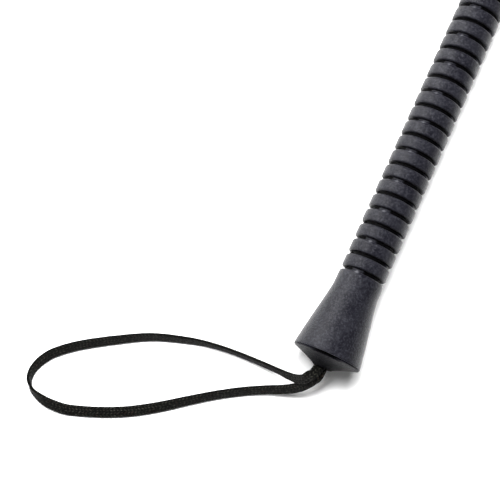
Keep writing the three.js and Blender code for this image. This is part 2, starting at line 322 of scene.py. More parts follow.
def rubber_look(name, specular, paleness):
    """Matte moulded rubber: fine grain, faint cloudiness, dusty bloom, edges rubbed paler, a painted highlight
    on the web crests and painted shade in grooves and creases. Less bloom than 1 also stands for painted shade,
    on a darker copy.
    """
    look = Look(name, Specular_IOR_Level=specular)
    cloud = look.math("MULTIPLY", look.tighten(look.noise(160, detail=4), 0.35, 0.68), paleness)
    base = look.blend(cloud, RUBBER_DARK, RUBBER_LIGHT)
    speck = look.tighten(look.noise(1150, detail=4, roughness=0.75), 0.44, 0.66)
    base = look.blend(look.math("MULTIPLY", speck, 0.7 * paleness), base, RUBBER_WORN_AND_HIGHLIGHT)
    wear_and_highlight_tone = look.math("MULTIPLY", look.attribute("wear_and_highlight"), look.between(look.noise(420), 0.15, 0.85))
    base = look.blend(wear_and_highlight_tone, base, RUBBER_WORN_AND_HIGHLIGHT)
    # Painted highlight: only the web crests reach this, and turn pale.
    base = look.blend(look.tighten(look.attribute("wear_and_highlight"), 0.45, 0.95), base, RUBBER_PAINTED_HIGHLIGHT)
    # Painted shade: the grooves, the plug's parting and the cone towards its hole are coloured near black, and
    # made rougher.
    look.colour(look.blend(look.attribute("painted_shade"), base, RUBBER_PAINTED_SHADE))
    smooth = look.between(look.noise(900, detail=5), 0.25, 0.45)
    look.roughness(look.math("ADD", smooth, look.math("MULTIPLY", look.attribute("painted_shade"), 0.5)))
    grain = look.bump(look.noise(1300, detail=4), 0.25 * MM, 0.6)
    look.bump(look.noise(4200, detail=2), 0.10 * MM, 0.7, under=grain)
    return look.material


TAPE_DARK = (0.0008, 0.0008, 0.0007)
TAPE_LIGHT = (0.0400, 0.0400, 0.0325)
TAPE_BROWN = (0.0400, 0.0267, 0.0208)
TAPE_COLUMN = 1.15 * MM
TAPE_YARN = 1.5 * MM


def tape_look():
    """Flat braided tape: rows of slanting yarns that meet along the middle, some of them light and fuzzy."""
    look = Look("loop_tape_look", Roughness=0.8, Specular_IOR_Level=0.12)
    look.shader.inputs["Sheen Weight"].default_value = 0.02
    look.shader.inputs["Sheen Roughness"].default_value = 0.5
    place = look.node("ShaderNodeSeparateXYZ")
    look.feed(place.inputs[0], look.attribute("tape_place", "Vector"))
    along, across = place.outputs["X"], place.outputs["Y"]
    slant = look.math("ADD", along, look.math("PINGPONG", across, TAPE_COLUMN))
    yarn = look.math("ABSOLUTE", look.math("SINE", look.math("MULTIPLY", slant, math.pi / TAPE_YARN)))
    column = look.math("ABSOLUTE", look.math("SINE", look.math("MULTIPLY", across, math.pi / TAPE_COLUMN)))
    height = look.math("MULTIPLY", yarn, look.between(column, 0.35, 1.0))
    fuzz = look.tighten(look.noise(1100), 0.40, 0.66)
    tone = look.math("MULTIPLY", look.math("POWER", height, 3.0), look.between(fuzz, 0.05, 0.9))
    light_yarn = look.blend(look.tighten(look.noise(320), 0.52, 0.66), TAPE_LIGHT, TAPE_BROWN)
    look.colour(look.blend(tone, TAPE_DARK, light_yarn))
    weave = look.bump(height, 0.22 * MM, 1.0)
    look.bump(look.noise(7000, detail=2), 0.05 * MM, 0.6, under=weave)
    return look.material


def thread_look(name, dark, light, roughness):
    """Yarn that is already shaped in the mesh: tone follows the ridges, with fine fibres."""
    look = Look(name, Roughness=roughness, Specular_IOR_Level=0.4)
    look.shader.inputs["Sheen Weight"].default_value = 0.15
    ridge = look.math("MULTIPLY", look.attribute("ridge"), look.between(look.noise(900), 0.35, 1.0))
    look.colour(look.blend(ridge, dark, light))
    look.bump(look.noise(9000, detail=2, stretch=(1.0, 0.35, 1.0)), 0.05 * MM, 0.6)
    return look.material


LEATHER_DARK = (0.0085, 0.0070, 0.0062)
LEATHER_LIGHT = (0.0230, 0.0185, 0.0160)
LEATHER_EDGE = (0.0052, 0.0045, 0.0042)


def leather_look():
    """Dyed cowhide: pebbled grain with creases between, waxy lights and darker burnished edges."""
    look = Look("keeper_leather_look", Specular_IOR_Level=0.22)
    pebble = look.tighten(look.cells(1100), 0.0, 0.28)
    cloud = look.noise(70, detail=5)
    tone = look.math("MULTIPLY", pebble, look.between(cloud, 0.15, 1.0))
    base = look.blend(tone, LEATHER_DARK, LEATHER_LIGHT)
    look.colour(look.blend(look.attribute("edge"), base, LEATHER_EDGE))
    look.roughness(look.between(look.noise(190, detail=4), 0.44, 0.68))
    grain = look.bump(pebble, 0.14 * MM, 0.55)
    look.bump(look.noise(2600, detail=4), 0.06 * MM, 0.5, under=grain)
    return look.material


def plastic_look(name, dark, light, roughness):
    """Moulded plastic with faint flow marks and fine scuffs."""
    look = Look(name, Specular_IOR_Level=0.5)
    look.colour(look.blend(look.noise(300, detail=4), dark, light))
    scuff = look.noise(1400, detail=3, stretch=(0.2, 1.0, 1.0))
    look.roughness(look.between(scuff, roughness - 0.1, roughness + 0.14))
    look.bump(scuff, 0.03 * MM, 0.4)
    return look.material


def glass_fibre_look():
    """Pultruded rod: long fibres in yellowish resin."""
    look = Look("rod_glass_fibre_look", Specular_IOR_Level=0.5)
    fibres = look.noise(2400, detail=3, stretch=(0.02, 1.0, 1.0))
    look.colour(look.blend(fibres, (0.46, 0.41, 0.24), (0.72, 0.68, 0.50)))
    look.roughness(look.between(fibres, 0.25, 0.45))
    look.bump(fibres, 0.03 * MM, 0.5)
    return look.material


def steel_look():
    """Zinc-plated washer: lathe marks and cloudy plating."""
    look = Look("washer_steel_look", Metallic=1.0)
    marks = look.noise(5200, detail=2, stretch=(4.0, 1.0, 1.0))
    look.colour(look.blend(look.noise(500), (0.42, 0.43, 0.45), (0.60, 0.61, 0.63)))
    look.roughness(look.between(marks, 0.22, 0.42))
    look.bump(marks, 0.02 * MM, 0.4)
    return look.material


# ---------------------------------------------------------------- wrist loop

TAPE_WIDTH = 4.6 * MM
TAPE_THICKNESS = 1.4 * MM
TAPE_SQUARENESS = 0.42
TAPE_COLUMNS = 28
PLUG_FACE_STATION = -6 * MM

# Route of the middle of the tape in metres: distance behind the butt as a negative x, sideways y, height z,
# and then the roll of its flat side in degrees.
LOOP_ROUTE = [
    (-0.0036, 0.0021, 0.0160, 4),
    (-0.0054, 0.0035, 0.0152, 14),
    (-0.0073, 0.0048, 0.0132, 28),
    (-0.0084, 0.0072, 0.0103, 45),
    (-0.0086, 0.0107, 0.0074, 60),
    (-0.0084, 0.0161, 0.0050, 70),
    (-0.0084, 0.0241, 0.0033, 74),
    (-0.0088, 0.0341, 0.0025, 75),
    (-0.0101, 0.0460, 0.0025, 73),
    (-0.0127, 0.0570, 0.0024, 62),
    (-0.0178, 0.0715, 0.0023, 53),
    (-0.0254, 0.0850, 0.0022, 44),
    (-0.0339, 0.0980, 0.0020, 38),
    (-0.0408, 0.1061, 0.0020, 38),
    (-0.0456, 0.1097, 0.0021, 42),
    (-0.0498, 0.1114, 0.0023, 52),
    (-0.0531, 0.1119, 0.0024, 62),
    (-0.0561, 0.1114, 0.0025, 76),
    (-0.0581, 0.1101, 0.0025, 92),
    (-0.0596, 0.1086, 0.0025, 104),
    (-0.0606, 0.1065, 0.0024, 117),
    (-0.0616, 0.1026, 0.0021, 138),
    (-0.0619, 0.0983, 0.0017, 155),
    (-0.0614, 0.0925, 0.0011, 171),
    (-0.0594, 0.0860, 0.0008, 180),
    (-0.0552, 0.0755, 0.0008, 180),
    (-0.0497, 0.0650, 0.0011, 172),
    (-0.0432, 0.0552, 0.0016, 158),
    (-0.0361, 0.0457, 0.0020, 145),
    (-0.0291, 0.0360, 0.0022, 138),
    (-0.0228, 0.0261, 0.0022, 138),
    (-0.0178, 0.0169, 0.0027, 140),
    (-0.0143, 0.0096, 0.0046, 146),
    (-0.0110, 0.0047, 0.0075, 155),
    (-0.0081, 0.0022, 0.0105, 165),
    (-0.0057, 0.0008, 0.0129, 174),
    (-0.0036, -0.0001, 0.0141, 180),
]
# Inside the hole the two ends lie flat on each other.
LOOP_START = (0.0025, 0.0006, 0.0161, 0)
LOOP_FINISH = (0.0025, -0.0003, 0.0143, 180)
SAMPLES_PER_SPAN = 12


def through_points(rows):
    """A smooth curve through every row, as Catmull-Rom spans."""
    rows = np.array(rows, float)
    padded = np.vstack([2 * rows[0] - rows[1], rows, 2 * rows[-1] - rows[-2]])
    made = []
    for start in range(len(rows) - 1):
        before, here, there, after = padded[start:start + 4]
        for step in range(SAMPLES_PER_SPAN):
            t = step / SAMPLES_PER_SPAN
            made.append(0.5 * (2 * here + (there - before) * t
                               + (2 * before - 5 * here + 4 * there - after) * t ** 2
                               + (3 * here - before - 3 * there + after) * t ** 3))
    made.append(rows[-1])
    return np.array(made)


def tape_frames(path, rolls):
    """Direction across the tape's face and direction out of it, at each point of its route."""
    along = np.gradient(path, axis=0)
    along /= np.linalg.norm(along, axis=1)[:, None]
    sideways = np.cross((0, 0, 1), along)
    sideways /= np.linalg.norm(sideways, axis=1)[:, None]
    above = np.cross(along, sideways)
    out = above * np.cos(rolls)[:, None] + sideways * np.sin(rolls)[:, None]
    return np.cross(along, out), out


def tape_section(columns):
    """Outline of the tape: flat faces a little crowned, with round thick edges. (across, out) pairs."""
    angles = full_turn(columns)
    across = np.sign(np.cos(angles)) * np.abs(np.cos(angles)) ** TAPE_SQUARENESS * TAPE_WIDTH / 2
    out = np.sign(np.sin(angles)) * np.abs(np.sin(angles)) ** TAPE_SQUARENESS * TAPE_THICKNESS / 2
    return across, out


def make_wrist_loop(material):
    rows = through_points([LOOP_START, *LOOP_ROUTE, LOOP_FINISH])
    path = rows[:, :3] + np.array((MOUTH_X, 0, 0))
    across_direction, out_direction = tape_frames(path, np.radians(rows[:, 3]))
    across, out = tape_section(TAPE_COLUMNS)
    points = (path[:, None, :] + across[None, :, None] * across_direction[:, None, :]
              + out[None, :, None] * out_direction[:, None, :])
    piece = skin("wrist_loop_tape", points, material, close_ends=True, crease=60)
    steps = np.linalg.norm(np.diff(path, axis=0), axis=1)
    travelled = np.concatenate([[0], np.cumsum(steps)])
    place = np.zeros((len(path), len(across), 3))
    place[:, :, 0] = travelled[:, None]
    place[:, :, 1] = across[None, :]
    ends = np.array([[0, 0, 0], [travelled[-1], 0, 0]])
    mark_vector(piece, "tape_place", np.vstack([place.reshape(-1, 3), ends]))
    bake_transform(piece)
    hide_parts("wrist_loop")
    return piece


KNOT_STATION = 11.2 * MM
KNOT_RADIUS = 2.6 * MM
KNOT_LOBE = 1.3 * MM
KNOT_RISE = 2.4 * MM
KNOT_STRAND_HALF_WIDTH = 1.35 * MM
KNOT_STRAND_HALF_THICKNESS = 1.0 * MM
KNOT_STRAND_PER_RADIAN = 5 * MM


def make_knot(material):
    """Three-lobed knot in the doubled ends of the tape, behind the washer."""
    turns = full_turn(160)
    radius = KNOT_RADIUS + KNOT_LOBE * np.cos(3 * turns)
    middle = on_axis(KNOT_STATION)
    path = (middle + np.outer(radius * np.cos(2 * turns), ABOVE) + np.outer(radius * np.sin(2 * turns), SIDE)
            + np.outer(KNOT_RISE * np.sin(3 * turns), AXIS))
    along = np.roll(path, -1, axis=0) - np.roll(path, 1, axis=0)
    along /= np.linalg.norm(along, axis=1)[:, None]
    first = np.cross(along, AXIS)
    first /= np.linalg.norm(first, axis=1)[:, None]
    second = np.cross(along, first)
    angles = full_turn(16)
    wide = KNOT_STRAND_HALF_WIDTH * np.cos(angles)
    thick = KNOT_STRAND_HALF_THICKNESS * np.sin(angles)
    points = (path[:, None, :] + wide[None, :, None] * first[:, None, :]
              + thick[None, :, None] * second[:, None, :])
    piece = skin("loop_knot_tape", points, material, wrap_rows=True, crease=60)
    place = np.zeros((len(path), len(angles), 3))
    place[:, :, 0] = (turns * KNOT_STRAND_PER_RADIAN)[:, None]
    place[:, :, 1] = thick[None, :]
    mark_vector(piece, "tape_place", place.reshape(-1, 3))
    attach(piece, "crop")
    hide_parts("loop_knot")


# ---------------------------------------------------------------- rubber grip

GRIP_RADIUS = 10 * MM
RING_COUNT = 24
RING_PITCH = 0.72 * GRIP_RADIUS
RING_GAP = 1.65 * MM
GROOVE_RADIUS = 0.75 * GRIP_RADIUS
FLARE_LENGTH = 36.4 * MM
FLARE_SLOPE = 0.179
FLARE_TOP = 29 * MM
RIBS_END = FLARE_LENGTH + RING_COUNT * RING_PITCH + RING_GAP
NOSE_LENGTH = 14 * MM
NOSE_END_RADIUS = 6.6 * MM
GRIP_END = RIBS_END + NOSE_LENGTH
SEAT_RADIUS = 14.4 * MM
SEAT_DEPTH = 0.9 * MM
CAVITY_RADIUS = 8.5 * MM
CAVITY_END = 20 * MM
FORMER_BORE_RADIUS = 5.5 * MM
BRAID_BORE_RADIUS = 4.75 * MM
BRAID_BORE_LENGTH = 10.3 * MM
RIM_LIP = -0.7 * MM
RIM_ROUNDING = 0.08 * MM
FULLNESS = 0.15 * MM
FULL_FROM = 8 * MM
RING_RADIUS = GRIP_RADIUS + FULLNESS
WEB_ANGLE = math.radians(24)
WEB_HALF_ANGLE = math.radians(27)
WEB_HIGH = 9.75 * MM
WEB_LOW = 8.9 * MM
WEB_NOTCH = 7.9 * MM
WEB_MIDDLE_RADIUS = 0.9 * GRIP_RADIUS
WEB_SHOULDER = 2.2 * MM
WEB_REACH = 1.2 * MM
EDGE_BUTT_SIDE = 0.7 * MM
EDGE_TIP_SIDE = 1.0 * MM
CREST_HIGHLIGHT_CORE = 0.2 * MM
CREST_HIGHLIGHT_RADIUS = 1.5 * MM
CREST_HIGHLIGHT_UP_THE_GRIP = 0.78
EDGE_WEAR = 0.25
RIM_WEAR = 0.2
RIM_WEAR_END = 1.4 * MM
GRIP_COLUMNS = 192


def flare_radius(station):
    fuller = FULLNESS * smoothstep(station, 0, FULL_FROM)
    return GRIP_RADIUS + fuller + FLARE_SLOPE * soft_ramp(FLARE_TOP - station, 2 * MM)


def ring_outline(start, end, is_flare=False):
    """Outside of one ring between two grooves, with both edges rounded."""
    outline = []
    if not is_flare:
        size = EDGE_BUTT_SIDE
        outline += arc(start + size, RING_RADIUS - size, size, 180, 90, 5)
        outline += [(start + (end - start) * share, RING_RADIUS) for share in (0.35, 0.55)]
    size = EDGE_TIP_SIDE
    outline += arc(end - size, RING_RADIUS - size, size, 90, 0, 6)
    return outline


def groove_outline(start):
    """Floor of one groove, square to its walls."""
    middle = start + RING_GAP / 2
    offsets = np.array((-1, -0.97, -0.6, -0.2, 0.2, 0.6, 0.97, 1)) * RING_GAP / 2
    lifts = (0.5, 0.12, 0, 0, 0, 0, 0.12, 0.5)
    return [(middle + offset, GROOVE_RADIUS + lift * MM) for offset, lift in zip(offsets, lifts)]


def grip_outline():
    """Closed outline of the whole moulding: outside first, then back through its bores."""
    outline = [(SEAT_DEPTH, SEAT_RADIUS), (RIM_LIP, SEAT_RADIUS)]
    outline += arc(RIM_LIP + RIM_ROUNDING, flare_radius(0) - RIM_ROUNDING, RIM_ROUNDING, 200, 98, 7)
    outline += [(station, flare_radius(station)) for station in np.linspace(1.5 * MM, 33 * MM, 22)]
    outline += ring_outline(0, FLARE_LENGTH, is_flare=True)
    for groove in range(RING_COUNT + 1):
        start = FLARE_LENGTH + groove * RING_PITCH
        outline += groove_outline(start)
        if groove < RING_COUNT:
            outline += ring_outline(start + RING_GAP, start + RING_PITCH)
    size = EDGE_BUTT_SIDE
    outline += arc(RIBS_END + size, RING_RADIUS - size, size, 180, 95, 5)
    for share in np.linspace(0.12, 0.94, 12):
        radius = RING_RADIUS + (NOSE_END_RADIUS - RING_RADIUS) * (0.35 * share + 0.65 * share ** 2)
        outline.append((RIBS_END + NOSE_LENGTH * share, radius))
    size = 0.5 * MM
    outline += arc(GRIP_END - size, NOSE_END_RADIUS - 0.9 * size, size, 75, 0, 5)
    step = GRIP_END - BRAID_BORE_LENGTH
    bores = [(GRIP_END, BRAID_BORE_RADIUS), (step, BRAID_BORE_RADIUS), (step, FORMER_BORE_RADIUS)]
    bores += [(CAVITY_END, FORMER_BORE_RADIUS), (CAVITY_END, CAVITY_RADIUS), (SEAT_DEPTH, CAVITY_RADIUS)]
    return outline, bores


def raise_webs(stations, radii, angles):
    """Lifts the groove floors to the webs, which leaves round-ended slots between them."""
    slot_half = (math.pi / 2 - WEB_HALF_ANGLE) * WEB_MIDDLE_RADIUS
    for groove in range(RING_COUNT + 1):
        start = FLARE_LENGTH + groove * RING_PITCH
        middle = start + RING_GAP / 2
        rows = np.where((stations > start - WEB_REACH) & (stations < start + RING_GAP + 0.001 * MM))[0]
        slot_angle = WEB_ANGLE + math.pi / 2 * (1 + groove % 2)
        turn = np.abs((angles - slot_angle + math.pi / 2) % math.pi - math.pi / 2)
        past_end = np.maximum(0, turn * WEB_MIDDLE_RADIUS - (slot_half - RING_GAP / 2))
        for row in rows:
            off_middle = max(-RING_GAP / 2, stations[row] - middle)
            outside = np.hypot(past_end, off_middle) - RING_GAP / 2
            share = smoothstep(outside, 0.0, WEB_SHOULDER) * (past_end > 0)
            places = (start - WEB_REACH, start + 0.8 * RING_GAP, start + 0.97 * RING_GAP)
            ramp = np.interp(stations[row], places, (WEB_HIGH, WEB_LOW, WEB_NOTCH))
            radii[row] += np.maximum(0, ramp - radii[row]) * share
    return radii


def web_crest_highlights(stations, angles):
    """Painted highlight on the crest in the middle of each web, strongest next to the flare, and 0 around it.
    """
    crest_highlight = np.zeros((len(stations), len(angles)))
    for groove in range(RING_COUNT + 1):
        start = FLARE_LENGTH + groove * RING_PITCH
        web_angle = WEB_ANGLE + math.pi / 2 * (groove % 2)
        turn = np.abs((angles - web_angle + math.pi / 2) % math.pi - math.pi / 2) * GRIP_RADIUS
        away = np.hypot(turn[None, :], (stations - start - 0.1 * MM)[:, None])
        highlight_strength = 1.0 if groove == 0 else CREST_HIGHLIGHT_UP_THE_GRIP
        crest_highlight = np.maximum(crest_highlight, highlight_strength * (1 - smoothstep(away, CREST_HIGHLIGHT_CORE, CREST_HIGHLIGHT_RADIUS)))
    return crest_highlight


def make_grip(material):
    """Rubber moulding with its flare, rings, webs and bores."""
    outside, bores = grip_outline()
    angles = full_turn(GRIP_COLUMNS)
    stations, radii = (np.array(values) for values in zip(*outside, *bores))
    radii = np.repeat(radii[:, None], GRIP_COLUMNS, axis=1)
    outer = len(outside)
    radii[:outer] = raise_webs(stations[:outer], radii[:outer], angles)
    points = around_axis(stations, radii, angles)
    piece = skin("rubber_grip_moulding", points, material, wrap_rows=True, crease=50)
    # The rings' edges and the rim are rubbed a little; the crests of the webs carry a painted highlight.
    wear_and_highlight = np.zeros(radii.shape)
    depth = np.clip((RING_RADIUS - radii) / (0.9 * MM), 0, 1)
    wear_and_highlight[:outer] = EDGE_WEAR * (4 * depth * (1 - depth))[:outer]
    wear_and_highlight[:outer][stations[:outer] < RIM_WEAR_END] = RIM_WEAR
    wear_and_highlight += web_crest_highlights(stations, angles)
    mark(piece, "wear_and_highlight", np.clip(wear_and_highlight, 0, 1))
    # Painted shade: the grooves are coloured darker the deeper they go.
    groove_shade = smoothstep(RING_RADIUS - radii, 0.5 * MM, 1.9 * MM)
    mark(piece, "painted_shade", groove_shade * (stations < RIBS_END)[:, None])
    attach(piece, "crop")
    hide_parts("rubber_grip")


HOLE_RADIUS = 3.25 * MM
HOLE_ROUNDING = 0.65 * MM
PLUG_BEAD = 0.9 * MM
PLUG_HOLLOW = 0.25 * MM
PLUG_SPIGOT_RADIUS = 8.2 * MM
PLUG_SPIGOT_END = 4.5 * MM
PLUG_FLANGE_END = 0.6 * MM
PARTING_DEPTH = 1.5 * MM
PARTING_WIDTH = 1.3 * MM
PARTING_ANGLE = math.radians(8)
PARTING_OPEN_TO = math.radians(12)
PARTING_CLOSED_FROM = math.radians(34)


def make_plug(material):
    """Shallow cone that closes the butt. The parting between it and the rim gapes a little on top."""
    bead_station = RIM_LIP - 0.06 * MM
    flange = flare_radius(0) - 0.02 * MM
    in_seat = SEAT_RADIUS - 0.1 * MM
    face = PLUG_FACE_STATION + HOLE_ROUNDING
    outline = [(PLUG_SPIGOT_END, HOLE_RADIUS), (face + 0.15 * MM, HOLE_RADIUS)]
    outline += arc(face, HOLE_RADIUS + HOLE_ROUNDING, HOLE_ROUNDING, 240, 110, 7)
    cone_start = np.array(outline[-1])
    cone_end = np.array((bead_station - 0.8 * PLUG_BEAD, flange - 0.42 * PLUG_BEAD))
    for share in np.linspace(0.08, 0.96, 20):
        station, radius = cone_start + (cone_end - cone_start) * share
        hollow = PLUG_HOLLOW * math.sin(math.pi * share)
        outline.append((station + hollow, radius))
    outline += arc(bead_station, flange - PLUG_BEAD, PLUG_BEAD, 142, 90, 10)
    outline += [(RIM_LIP - 0.05 * MM, flange), (RIM_LIP - 0.04 * MM, in_seat), (PLUG_FLANGE_END, in_seat)]
    flange_end = len(outline)
    outline += [(PLUG_FLANGE_END, PLUG_SPIGOT_RADIUS), (PLUG_SPIGOT_END, PLUG_SPIGOT_RADIUS)]
    stations, radii = (np.array(values) for values in zip(*outline))
    angles = full_turn(144)
    off_middle = np.abs((angles - PARTING_ANGLE + math.pi) % (2 * math.pi) - math.pi)
    opening = 1 - smoothstep(off_middle, PARTING_OPEN_TO, PARTING_CLOSED_FROM)
    gape = smoothstep(stations, RIM_LIP - PARTING_WIDTH, RIM_LIP - 0.7 * PARTING_WIDTH)
    gape[0] = 0
    gape[flange_end:] = 0
    parting = gape[:, None] * opening[None, :]
    radii = radii[:, None] - PARTING_DEPTH * parting
    piece = skin("butt_plug_cone", around_axis(stations, radii, angles), material, wrap_rows=True)
    # Painted shade: the cone darkens towards its hole, and the gaping parting is coloured near black.
    shade = 0.7 * smoothstep(-stations, 1.5 * MM, 5.5 * MM)
    mark(piece, "wear_and_highlight", np.zeros(radii.shape))
    mark(piece, "painted_shade", np.maximum(shade[:, None], parting))
    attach(piece, "crop")
    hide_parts("butt_plug")


# ---------------------------------------------------------------- shaft

BRAID_START = GRIP_END - 10 * MM
BRAID_END = 538 * MM
BRAID_START_RADIUS = 4.4 * MM
BRAID_END_RADIUS = 2.7 * MM
BRAID_START_BORE = 3.35 * MM
BRAID_END_BORE = 2.0 * MM
BRAID_RELIEF = 0.36 * MM
BRAID_CARRIERS = 16
BRAID_CELL = 1.9 * MM


def braid_height(stations, angles):
    """0 to 1 over two sets of yarns that wind opposite ways and go over and under each other."""
    turn = BRAID_CARRIERS * angles[None, :] / (2 * math.pi)
    climb = stations[:, None] / BRAID_CELL
    left = turn + climb
    right = turn - climb
    over = (np.floor(left) + np.floor(right)) % 2 == 0
    across = np.where(over, left, right) % 1
    lengthways = np.where(over, right, left) % 1
    return np.sin(math.pi * across) ** 0.6 * (0.5 + 0.5 * np.sin(math.pi * lengthways))


def make_braid(material):
    angles = full_turn(96)
    stations = np.linspace(BRAID_START, BRAID_END, 860)
    share = (stations - BRAID_START) / (BRAID_END - BRAID_START)
    body = BRAID_START_RADIUS + (BRAID_END_RADIUS - BRAID_START_RADIUS) * share
    relief = braid_height(stations, angles)
    radii = body[:, None] - BRAID_RELIEF * (1 - relief)
    bore = np.full((2, len(angles)), BRAID_END_BORE)
    bore[1] = BRAID_START_BORE
    all_stations = np.concatenate([stations, (BRAID_END, BRAID_START)])
    points = around_axis(all_stations, np.vstack([radii, bore]), angles)
    piece = skin("shaft_braid_cover", points, material, wrap_rows=True, crease=80)
    mark(piece, "ridge", np.vstack([relief, np.zeros((2, len(angles)))]))
    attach(piece, "crop")
    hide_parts("shaft_braid")


COLLAR_LENGTH = 6 * MM
COLLAR_BORE = 4.7 * MM


def make_collar(material):
    """Moulded collar with a bead at each end."""
    start = GRIP_END + 0.3 * MM
    outline = [(start, COLLAR_BORE)]
    bead = 0.9 * MM
    outline += arc(start + bead, 5.35 * MM, bead, 180, 25, 8)
    outline += [(start + share * COLLAR_LENGTH, (5.75 - 0.25 * share) * MM) for share in (0.35, 0.5, 0.65)]
    bead = 0.7 * MM
    outline += arc(start + COLLAR_LENGTH - bead, 5.05 * MM, bead, 145, 0, 8)
    outline += [(start + COLLAR_LENGTH, COLLAR_BORE)]
    piece = turned("grip_collar_ring", outline, material, columns=72)
    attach(piece, "crop")
    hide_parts("grip_collar")


BINDING_START = 529 * MM
BINDING_END = 548.5 * MM
BINDING_BORE = 4.7 * MM
BINDING_THREAD = 0.78 * MM


def make_binding(material):
    """Close turns of waxed thread in one helix over the rolled leather."""
    angles = full_turn(64)
    stations = np.linspace(BINDING_START, BINDING_END, 176)
    phase = stations[:, None] / BINDING_THREAD - angles[None, :] / (2 * math.pi)
    relief = np.abs(np.sin(math.pi * phase)) ** 0.7
    from_end = np.minimum(stations - BINDING_START, BINDING_END - stations)
    full_height = smoothstep(from_end, 0, 0.5 * MM)[:, None]
    winding = (0.45 + 0.4 * relief) * MM
    radii = BINDING_BORE + 0.05 * MM + winding * (0.25 + 0.75 * full_height)
    bore = np.full((2, len(angles)), BINDING_BORE)
    all_stations = np.concatenate([stations, (BINDING_END, BINDING_START)])
    points = around_axis(all_stations, np.vstack([radii, bore]), angles)
    piece = skin("keeper_binding_thread", points, material, wrap_rows=True, crease=80)
    mark(piece, "ridge", np.vstack([relief, np.zeros((2, len(angles)))]))
    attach(piece, "crop")
    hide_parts("keeper_binding")


# ---------------------------------------------------------------- keeper

HINGE_STATION = 551.8 * MM
ROOT_START_STATION = 528 * MM
HINGE = on_axis(HINGE_STATION)
ROOT_START_X = on_axis(ROOT_START_STATION)[0]
BINDING_END_X = on_axis(BINDING_END)[0]
LEATHER_STACK = 3.4 * MM
LAYER = 1.62 * MM
KEEPER_WIDTH = 38 * MM
NECK_WIDTH = 13 * MM
NECK_DROP = 18 * MM
NECK_FLARE = 42 * MM
KEEPER_CORNER = 10 * MM
STITCH_INSET = 3 * MM
STITCH_PITCH = 3.1 * MM
STITCH_HALF_LENGTH = 1.25 * MM
STITCH_RADIUS = 0.36 * MM
STITCH_SLANT = math.radians(9)
ROOT_INNER = 3.02 * MM
ROLL_ANGLE = 0.97 * math.pi / 2
PLEAT_DEPTH = 0.25 * MM
PLEAT_LENGTH = 6 * MM
LAYER_GAP = 0.06 * MM
LEATHER_ROUNDING = 0.55 * MM
SEWING_GROOVE = 0.32 * MM


def axis_height(x):
    return RIM[2] + (x - RIM[0]) * AXIS[2] / AXIS[0]


def keeper_half_width(x):
    flare = smoothstep(x, HINGE[0], HINGE[0] + NECK_FLARE)
    width = (NECK_WIDTH + (KEEPER_WIDTH - NECK_WIDTH) * flare) / 2
    into_corner = np.clip(x - (KEEPER_END_X - KEEPER_CORNER), 0, KEEPER_CORNER)
    return width - KEEPER_CORNER + np.sqrt(KEEPER_CORNER ** 2 - into_corner ** 2)


def keeper_middle(x):
    """Height of the plane between the two layers."""
    drop = smoothstep(x, HINGE[0] - 2 * MM, HINGE[0] + NECK_DROP)
    return axis_height(x) + (LEATHER_STACK / 2 - axis_height(x)) * drop


def keeper_rows():
    """Places along the leather, closer together where its shape changes fast."""
    root = np.linspace(ROOT_START_X, BINDING_END_X, 12)[:-1]
    neck = np.linspace(BINDING_END_X, HINGE[0] + NECK_FLARE, 40)[:-1]
    flat = np.linspace(HINGE[0] + NECK_FLARE, KEEPER_END_X - KEEPER_CORNER, 30)[:-1]
    corner_angles = np.linspace(0, math.pi / 2, 30)
    corner = KEEPER_END_X - KEEPER_CORNER * (1 - np.sin(corner_angles))
    return np.concatenate([root, neck, flat, corner])


def outline_distance(x, y):
    """Distance from the edge of the flap, inwards."""
    side = keeper_half_width(np.minimum(x, KEEPER_END_X - KEEPER_CORNER)) - np.abs(y)
    end = KEEPER_END_X - x
    in_corner = (side < KEEPER_CORNER) & (end < KEEPER_CORNER)
    corner = KEEPER_CORNER - np.hypot(KEEPER_CORNER - side, KEEPER_CORNER - end)
    return np.where(in_corner, corner, np.minimum(side, end))


def across_leather():
    """Places across the leather from -1 to 1, closer together near its edges."""
    half_width = KEEPER_WIDTH / 2
    from_edge = np.array((0, 0.12, 0.3, 0.6, 1.0, 1.5, 2.0, 2.35, 2.7, 3.0, 3.3, 3.65, 4.0, 4.6)) * MM
    inside = np.linspace(5.6 * MM / half_width, 1, 14)
    half = 1 - np.concatenate([from_edge / half_width, inside])
    return np.concatenate([-half, half[::-1][1:]])


def layer_middle(x, roll, across):
    """Middle of a layer at x, with height over the plane between the layers, and its normals. roll is 1 where
    the leather is wrapped round the shaft and 0 where it is flat."""
    wrap = across * ROLL_ANGLE
    radius = ROOT_INNER + LAYER / 2
    flat_y = across * keeper_half_width(x)
    flat_z = LAYER / 2 + LAYER_GAP
    y = flat_y + (radius * np.sin(wrap) - flat_y) * roll
    z = flat_z + (radius * np.cos(wrap) - flat_z) * roll
    if x > BINDING_END_X:
        fade = math.exp(-((x - BINDING_END_X) / PLEAT_LENGTH) ** 2)
        z = z + PLEAT_DEPTH * np.cos(across * 5 * math.pi) * fade
    normal_y = np.sin(wrap) * roll
    normal_z = 1 - roll + np.cos(wrap) * roll
    length = np.hypot(normal_y, normal_z)
    return flat_y, y, z, normal_y / length, normal_z / length


def face_relief(x, inwards):
    """How far the outer face lies below full thickness, by its rounded edge and its sewing groove."""
    into = np.clip(inwards / LEATHER_ROUNDING, 0, 1)
    shoulder = np.sqrt(1 - (1 - into) ** 2)
    sewn = smoothstep(x, HINGE[0] + NECK_DROP, HINGE[0] + NECK_DROP + 4 * MM)
    groove = SEWING_GROOVE * np.exp(-((inwards - STITCH_INSET) / LEATHER_ROUNDING) ** 2) * sewn
    return LEATHER_ROUNDING * (1 - shoulder) + groove


